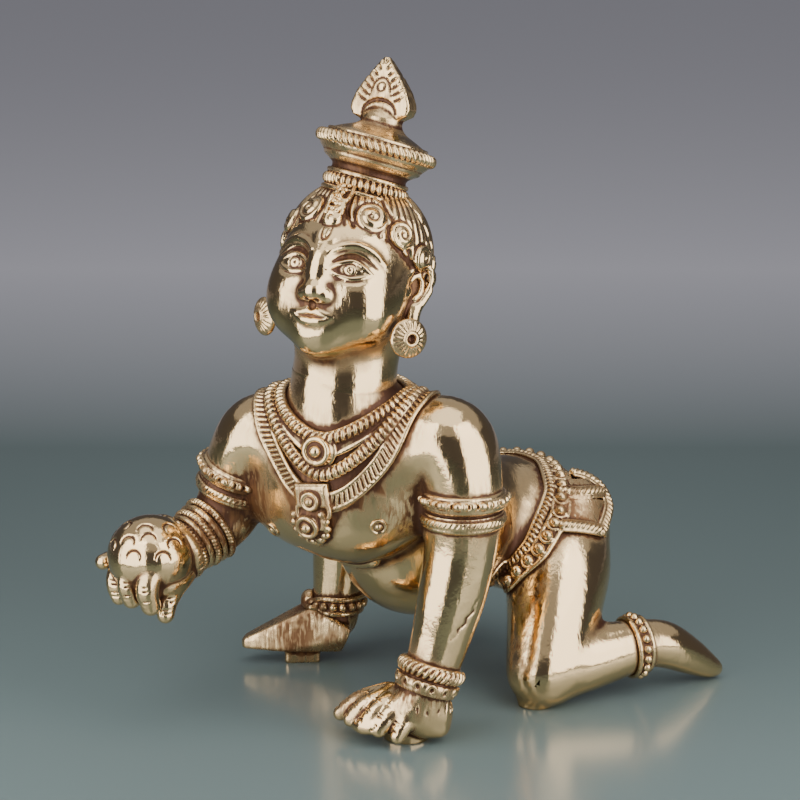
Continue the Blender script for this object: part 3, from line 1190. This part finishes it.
# Arcs stamped all over the ball, at (degrees round, degrees up)
arcs = ((37, 54), (99, 50), (10, 31), (46, 38), (88, 25), (-30, 52), (-55, 28), (-22, 20),
        (150, 45), (130, 26), (-95, 46), (-150, 50), (25, 12), (66, 10))
for about, rise in arcs:
    a, e = math.radians(about), math.radians(rise)
    out = np.array([math.sin(a) * math.cos(e), -math.cos(a) * math.cos(e), math.sin(e)])
    axes = facing(out)
    spot, out = cup.settle([BALL + out * 5.6])
    cup.score([spot[0] + axes[:, 0] * math.cos(t) + axes[:, 1] * 0.95 * math.sin(t)
               - axes[:, 2] * 0.2 for t in np.linspace(-0.35, math.pi + 0.35, 13)], 0.18, 0.02)

# Folds over the knuckles, and file marks round the wrist
for rows in fingers:
    ahead = np.array([0.45, -0.9, 0.0]) if rows is not fingers[-1] else np.array([0.8, -0.6, 0.0])
    across = np.array([-ahead[1], ahead[0], 0])
    for share in (0.35, 0.8):
        joint = rows[1] + (rows[3] - rows[1]) * share
        knuckle, out = cup.settle([joint[:3] + ahead * joint[3]])
        for step in (-0.28, 0.28):
            cup.score([knuckle[0] + across * s * 0.75 - ahead * abs(s) * 0.2 + (0, 0, step)
                       for s in FOLD], 0.15, 0.05)
for k in range(16):
    a = math.radians(-70 + 14 * k)
    spot, out = cup.settle([(-17.7 + 5.4 * math.sin(a), -25.4 - 1.2 * math.cos(a),
                             22.4 + 5.0 * math.cos(a))])
    cup.score([spot[0] + (0, 1.1, 0.5), spot[0] + (0.1, 0, 0), spot[0] - (0, 1.3, 0.3)], 0.15, 0.05)
y = cup.window(cup.low, cup.high)[2]
cup.gap = np.maximum(cup.gap, y + 22.6)    # the wrist ends inside the arm
cast(cup, "right_hand_and_ball")

# Finish of the whole casting.
# Polished brass, with brown left in the hollows, beside the ornaments and where the polishing
# wheel could not reach. How deep each point sits is kept on the meshes for the finish to read.


def resampled(wax, x, y, z):
    """The wax's distances at the cells of a coarser block."""
    block = wax.gap
    for i, axis in enumerate((x, y, z)):
        where = np.clip((axis.ravel() - wax.low[i]) / wax.grain, 0, wax.gap.shape[i] - 1)
        cell = np.minimum(where.astype(int), wax.gap.shape[i] - 2)
        shape = [1, 1, 1]
        shape[i] = len(cell)
        part = (where - cell).astype(np.float32).reshape(shape)
        block = np.take(block, cell, i) * (1 - part) + np.take(block, cell + 1, i) * part
    return block


def keep_on(piece, label, amount):
    """Keeps one number for each point of a piece."""
    piece.data.attributes.new(label, "FLOAT", "POINT").data.foreach_set(
        "value", amount.astype(np.float32))


def filled(wax):
    """How much of each cell is metal, from 0 to 1."""
    return np.clip(0.5 - wax.gap / wax.grain, 0, 1)


whole = Wax((-30, -39, -1), (31, 40, 90), 0.34)
for piece, wax, places, out in castings:
    cells, x, y, z = whole.window(wax.low + 0.3, wax.high - 0.3)
    whole.gap[cells] = np.minimum(whole.gap[cells], resampled(wax, x, y, z))
solid = filled(whole)
for label, reach in (("near_hollow", 0.45), ("wide_hollow", 1.4)):
    whole.gap = blurred(solid, reach / whole.grain)
    for piece, wax, places, out in castings:
        keep_on(piece, label, (whole.read(places - out * 0.1 * reach) - 0.54) * 2)

# Ornaments, as a blurred cloud round every piece that is not bare
bare = ("trunk_and_arms", "hips_and_legs", "head_and_neck", "left_hand", "right_hand_and_ball")
ornaments = Wax(whole.low, whole.low, 3 * whole.grain)
ornaments.gap = np.zeros_like(solid[::3, ::3, ::3])
for piece, wax, places, out in castings:
    if piece.name not in bare:
        x, y, z = np.round((places[::7] - ornaments.low) / ornaments.grain).astype(int).T
        ornaments.gap[x, y, z] = 1.0
ornaments.gap = blurred(ornaments.gap, 2.2)

# Places the wheel could not reach, as (x, y, z, reach): creases, the cuff, the right foot's side
unreached = [(-9.0, -17.5, 30.5, 4.4), (-14.0, -18.0, 25.5, 5.5), (-16.5, -24.0, 23.0, 4.0),
             (-21.5, -1.0, 4.6, 6.5), (-17.0, 3.0, 6.0, 5.0), (12.6, 11.0, 16.0, 4.5),
             (10.5, -11.5, 30.0, 3.6), (14.5, -12.0, 6.6, 3.2), (6.0, -15.5, 4.5, 2.4),
             (-16.0, -31.0, 20.5, 3.2), (15.0, 7.5, 8.0, 3.0)]
for piece, wax, places, out in castings:
    keep_on(piece, "by_ornament", ornaments.read(places))
    rough = np.zeros(len(places))
    for x, y, z, reach in unreached:
        away = np.linalg.norm(places - (x, y, z), axis=1) / reach
        rough = np.maximum(rough, np.exp(-away ** 4))
    keep_on(piece, "left_rough", rough)
    close = Wax(wax.low, wax.low, wax.grain)
    close.gap = blurred(filled(wax), 0.24 / wax.grain)
    keep_on(piece, "fine_hollow", (close.read(places - out * 0.03) - 0.52) * 2)


class Socket:
    """A shader value: arithmetic on it adds Math nodes."""

    def __init__(self, tree, link):
        self.tree, self.link = tree, link

    def math(self, operation, *values, clamp=False):
        node = self.tree.nodes.new("ShaderNodeMath")
        node.operation = operation
        node.use_clamp = clamp
        for socket, value in zip(node.inputs, values):
            if isinstance(value, Socket):
                self.tree.links.new(value.link, socket)
            else:
                socket.default_value = value
        return Socket(self.tree, node.outputs[0])

    def __add__(self, other):
        return self.math("ADD", self, other)

    def __radd__(self, other):
        return self.math("ADD", other, self)

    def __sub__(self, other):
        return self.math("SUBTRACT", self, other)

    def __rsub__(self, other):
        return self.math("SUBTRACT", other, self)

    def __mul__(self, other):
        return self.math("MULTIPLY", self, other)

    def __rmul__(self, other):
        return self.math("MULTIPLY", other, self)

    def held(self):
        """The value kept between 0 and 1."""
        return self.math("ADD", self, 0.0, clamp=True)


class Shader:
    """A material under construction."""

    def __init__(self, name):
        self.material = bpy.data.materials.new(name)
        self.material.use_nodes = True
        self.tree = self.material.node_tree
        self.surface = self.tree.nodes["Principled BSDF"].inputs

    def feed(self, socket, value):
        if isinstance(value, Socket):
            self.tree.links.new(value.link, socket)
        else:
            socket.default_value = value

    def node(self, kind, settings=(), values=(), output=0):
        """Any node: its type, settings, and sockets by name or number. Gives one output."""
        node = self.tree.nodes.new(kind)
        for name, setting in dict(settings).items():
            setattr(node, name, setting)
        for name, value in dict(values).items():
            self.feed(node.inputs[name], value)
        return Socket(self.tree, node.outputs[output])

    def kept(self, label):
        """A number that is kept on the meshes."""
        return self.node("ShaderNodeAttribute", {"attribute_name": label}, output=2)

    def noise(self, place, scale, detail):
        return self.node("ShaderNodeTexNoise",
                         values={"Vector": place, "Scale": scale, "Detail": detail})

    def blend(self, share, first, second):
        """A mix of two colours."""
        return self.node("ShaderNodeMix", {"data_type": "RGBA"},
                         {0: share, 6: first, 7: second}, output=2)


POLISHED = (0.82, 0.58, 0.30, 1.0)
DARK_BROWN = (0.075, 0.03, 0.014, 1.0)
COPPER_BROWN = (0.17, 0.078, 0.03, 1.0)
brass = Shader("polished_brass")
place = brass.node("ShaderNodeTexCoord", output=3)
cloud = brass.noise(place, 420.0, 5.0)
patches = brass.noise(place, 130.0, 4.0)
stretched = brass.node("ShaderNodeMapping", values={"Vector": place, "Scale": (1.0, 1.0, 0.14)})
streaks = brass.noise(stretched, 2200.0, 3.0)
hollow = (brass.kept("fine_hollow") * 4.4 + brass.kept("near_hollow") * 3.4
          + brass.kept("wide_hollow") * 1.3)
scraped = brass.kept("left_rough")
brushed = (brass.kept("by_ornament") * 3.4 - 0.2).held() + scraped * 1.3
brushed = brushed * ((streaks - 0.44) * 3.4 + (patches - 0.44) * 3.2 + scraped * 0.1).held()
crevice = (hollow * 1.2 + (cloud - 0.5) * 0.9 + (patches - 0.5) * 0.6 - 0.14).held()
worn = ((cloud - 0.5) * 4.5 + (streaks - 0.5) * 2.5).held()
stain = (crevice + brushed * (0.8 - worn * 0.4)).held()
copper = ((patches - 0.47) * 5.0 + (streaks - 0.5) * 4.0 + 0.4 - crevice * 0.7).held()
brown = brass.blend(copper, DARK_BROWN, COPPER_BROWN)
uneven = brass.noise(place, 1100.0, 4.0) * 1.6 + brass.noise(place, 170.0, 2.0) * 4.5 + streaks
relief = brass.node("ShaderNodeBump",
                    values={"Strength": 0.6, "Distance": 0.00004, "Height": uneven})
brass.feed(brass.surface["Base Color"], brass.blend(stain, POLISHED, brown))
brass.feed(brass.surface["Metallic"], 1.0 - stain * 0.35)
brass.feed(brass.surface["Roughness"], 0.11 + stain * 0.34 + (cloud - 0.5) * 0.08)
brass.feed(brass.surface["Normal"], relief)
for piece, wax, places, out in castings:
    piece.data.materials.append(brass.material)

# Floor, lights and camera.
# A plain glossy floor of painted board, paler far behind the figure, two soft boxes that give
# the brass its upright bands, a large one overhead, and the camera at the photograph's angle.
bpy.ops.mesh.primitive_plane_add(size=3.0)
floor = bpy.context.object
floor.name = "floor"
NEAR_FLOOR = (0.13, 0.172, 0.168, 1.0)
FAR_FLOOR = (0.78, 0.77, 0.84, 1.0)
BEHIND = (-0.68, 0.73, 0.0)                # the way the camera looks, along the floor
pale = Shader("pale_floor")
place = pale.node("ShaderNodeTexCoord", output=3)
distance = pale.node("ShaderNodeVectorMath", {"operation": "DOT_PRODUCT"},
                     {0: place, 1: BEHIND}, output=1)
far = ((distance - 0.14) * 5.0).held()
pale.feed(pale.surface["Base Color"], pale.blend(far, NEAR_FLOOR, FAR_FLOOR))
pale.feed(pale.surface["Roughness"], 0.2)
pale.feed(pale.surface["Specular IOR Level"], 0.8)
floor.data.materials.append(pale.material)

world = bpy.data.worlds.new("studio")
bpy.context.scene.world = world
world.use_nodes = True
backdrop = world.node_tree.nodes["Background"].inputs
backdrop["Color"].default_value = (0.08, 0.08, 0.092, 1.0)
backdrop["Strength"].default_value = 1.0

AIM = (Vector((0.0, 0.0, 42.0)) - Vector(MIDDLE)) * SCALE
FILM = 36.0                                # width of the film, mm
FOCUS = 2458.5 / 800                       # focal length in widths of the picture


def around(azimuth, rise, reach):
    """A place round the figure, seen from its middle."""
    azimuth, rise = math.radians(azimuth), math.radians(rise)
    return AIM + reach * Vector((math.sin(azimuth) * math.cos(rise),
                                 -math.cos(azimuth) * math.cos(rise), math.sin(rise)))


def soft_box(name, azimuth, rise, reach, size, power, level=False):
    """A soft light of (width, height), turned to the figure, or level at its own height."""
    light = bpy.data.lights.new(name, "AREA")
    light.shape = "RECTANGLE"
    light.size, light.size_y = size
    light.energy = power
    lamp = bpy.data.objects.new(name, light)
    lamp.location = around(azimuth, rise, reach)
    goal = Vector((AIM.x, AIM.y, lamp.location.z)) if level else AIM
    lamp.rotation_euler = (goal - lamp.location).to_track_quat("-Z", "Y").to_euler()
    lamp.visible_camera = False
    bpy.context.collection.objects.link(lamp)


soft_box("left_box", -8, 26, 0.13, (0.13, 0.19), 0.28, True)
soft_box("right_box", 92, 26, 0.13, (0.13, 0.19), 0.28, True)
soft_box("top_box", 45, 80, 0.5, (0.5, 0.5), 1.2)
even = bpy.data.lights.new("even_light", "SUN")
even.energy = 0.8
even.angle = math.radians(120)
bpy.context.collection.objects.link(bpy.data.objects.new("even_light", even))

lens = bpy.data.cameras.new("camera")
lens.sensor_width = FILM
lens.lens = FILM * FOCUS
lens.clip_start = 0.01
camera = bpy.data.objects.new("camera", lens)
bpy.context.collection.objects.link(camera)
camera.location = around(43, 13, 330 * SCALE)
camera.rotation_euler = (AIM - camera.location).to_track_quat("-Z", "Y").to_euler()
bpy.context.scene.camera = camera
